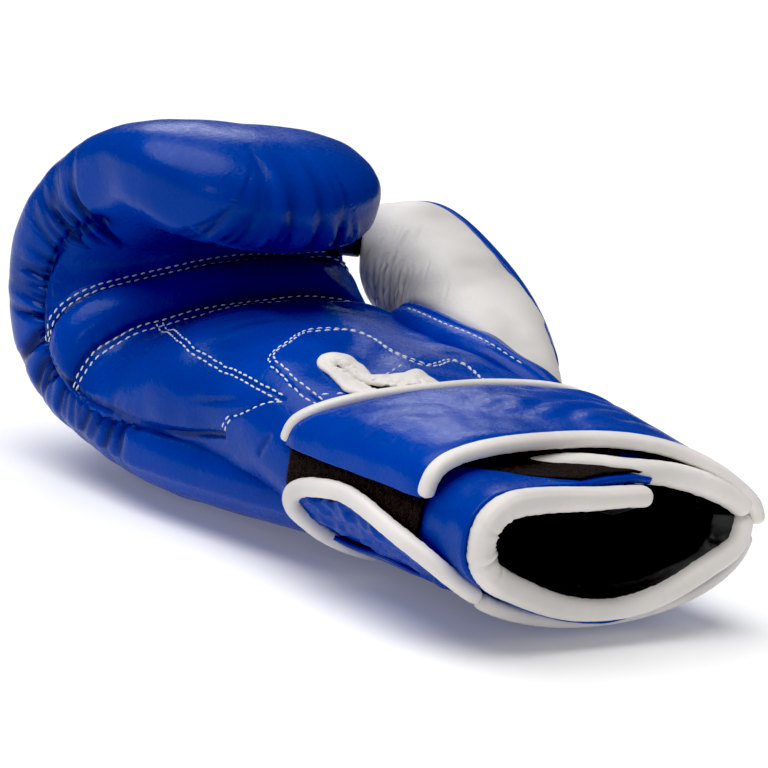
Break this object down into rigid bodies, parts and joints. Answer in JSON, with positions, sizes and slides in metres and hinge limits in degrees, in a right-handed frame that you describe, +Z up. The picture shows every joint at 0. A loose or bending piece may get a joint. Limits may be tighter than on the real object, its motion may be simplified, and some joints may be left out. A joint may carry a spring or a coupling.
{
  "type": "boxing glove",
  "caption": "Right-hand padded boxing glove with curled fist pad, attached thumb, split cuff and two-part hook-and-loop wrist strap, lying palm up.",
  "frame": {"origin": "middle of the glove's bounding box, at the floor it lies on", "axes": "+X towards the thumb side, +Y from the cuff mouth towards the knuckles, +Z up on the palm side"},
  "size_m": [0.1694, 0.2754, 0.1331],
  "materials": {
    "blue_leather": "glossy grained royal blue leather",
    "white_leather": "semi-matt grained off-white leather",
    "white_piping": "smooth off-white leather piping",
    "foam": "closed-cell padding foam",
    "black_satin": "black woven satin lining",
    "navy_tether": "dark navy leather tab",
    "loop_tape": "brown-black napped loop tape",
    "hook_tape": "black moulded hook tape"
  },
  "bodies": {
    "glove": {"knuckle_leather": "blue_leather", "side_panel": "blue_leather", "wrist_side_panel": "blue_leather", "palm_leather": "blue_leather", "finger_pocket_leather": "blue_leather", "grip_cover": "blue_leather", "slit_patch": "blue_leather", "thumb_base_panel": "blue_leather", "thumb_back_strip": "blue_leather", "cuff_leather": "blue_leather", "strap_back": "blue_leather", "thumb_leather": "white_leather", "slit_binding": "white_piping", "cuff_binding": "white_piping", "strap_back_piping": "white_piping", "knuckle_foam_outer": "foam", "knuckle_foam_inner": "foam", "palm_foam": "foam", "grip_roll_foam": "foam", "thumb_foam": "foam", "cuff_foam": "foam", "hand_lining": "black_satin", "thumb_lining": "black_satin", "cuff_lining": "black_satin", "thumb_tether": "navy_tether", "loop_tape": "loop_tape"},
    "palm_strap": {"strap_panel": "blue_leather", "strap_panel_foam": "foam", "strap_piping_fist": "white_piping", "strap_piping_cuff": "white_piping"},
    "cuff_lap": {"cuff_overlap": "blue_leather", "cuff_overlap_lining": "black_satin", "cuff_overlap_binding": "white_piping"},
    "back_flap": {"strap_flap": "blue_leather", "strap_flap_piping": "white_piping", "hook_patch": "hook_tape"}
  },
  "joints": [
    {"name": "palm_strap_open", "type": "hinge", "parent": "glove", "child": "palm_strap", "pos_m": [0.0593, -0.088, 0.037], "axis": [0, 1, 0], "range_deg": [0, 50]},
    {"name": "cuff_lap_open", "type": "hinge", "parent": "glove", "child": "cuff_lap", "pos_m": [0.0523, -0.105, 0.039], "axis": [0, 1, 0], "range_deg": [0, 10]},
    {"name": "back_flap_open", "type": "hinge", "parent": "glove", "child": "back_flap", "pos_m": [-0.0587, -0.083, 0.0135], "axis": [0, -1, 0], "range_deg": [0, 60]}
  ],
  "couplings": [
    {"joint": "cuff_lap_open", "follows": "palm_strap_open", "ratio": 0.2}
  ]
}
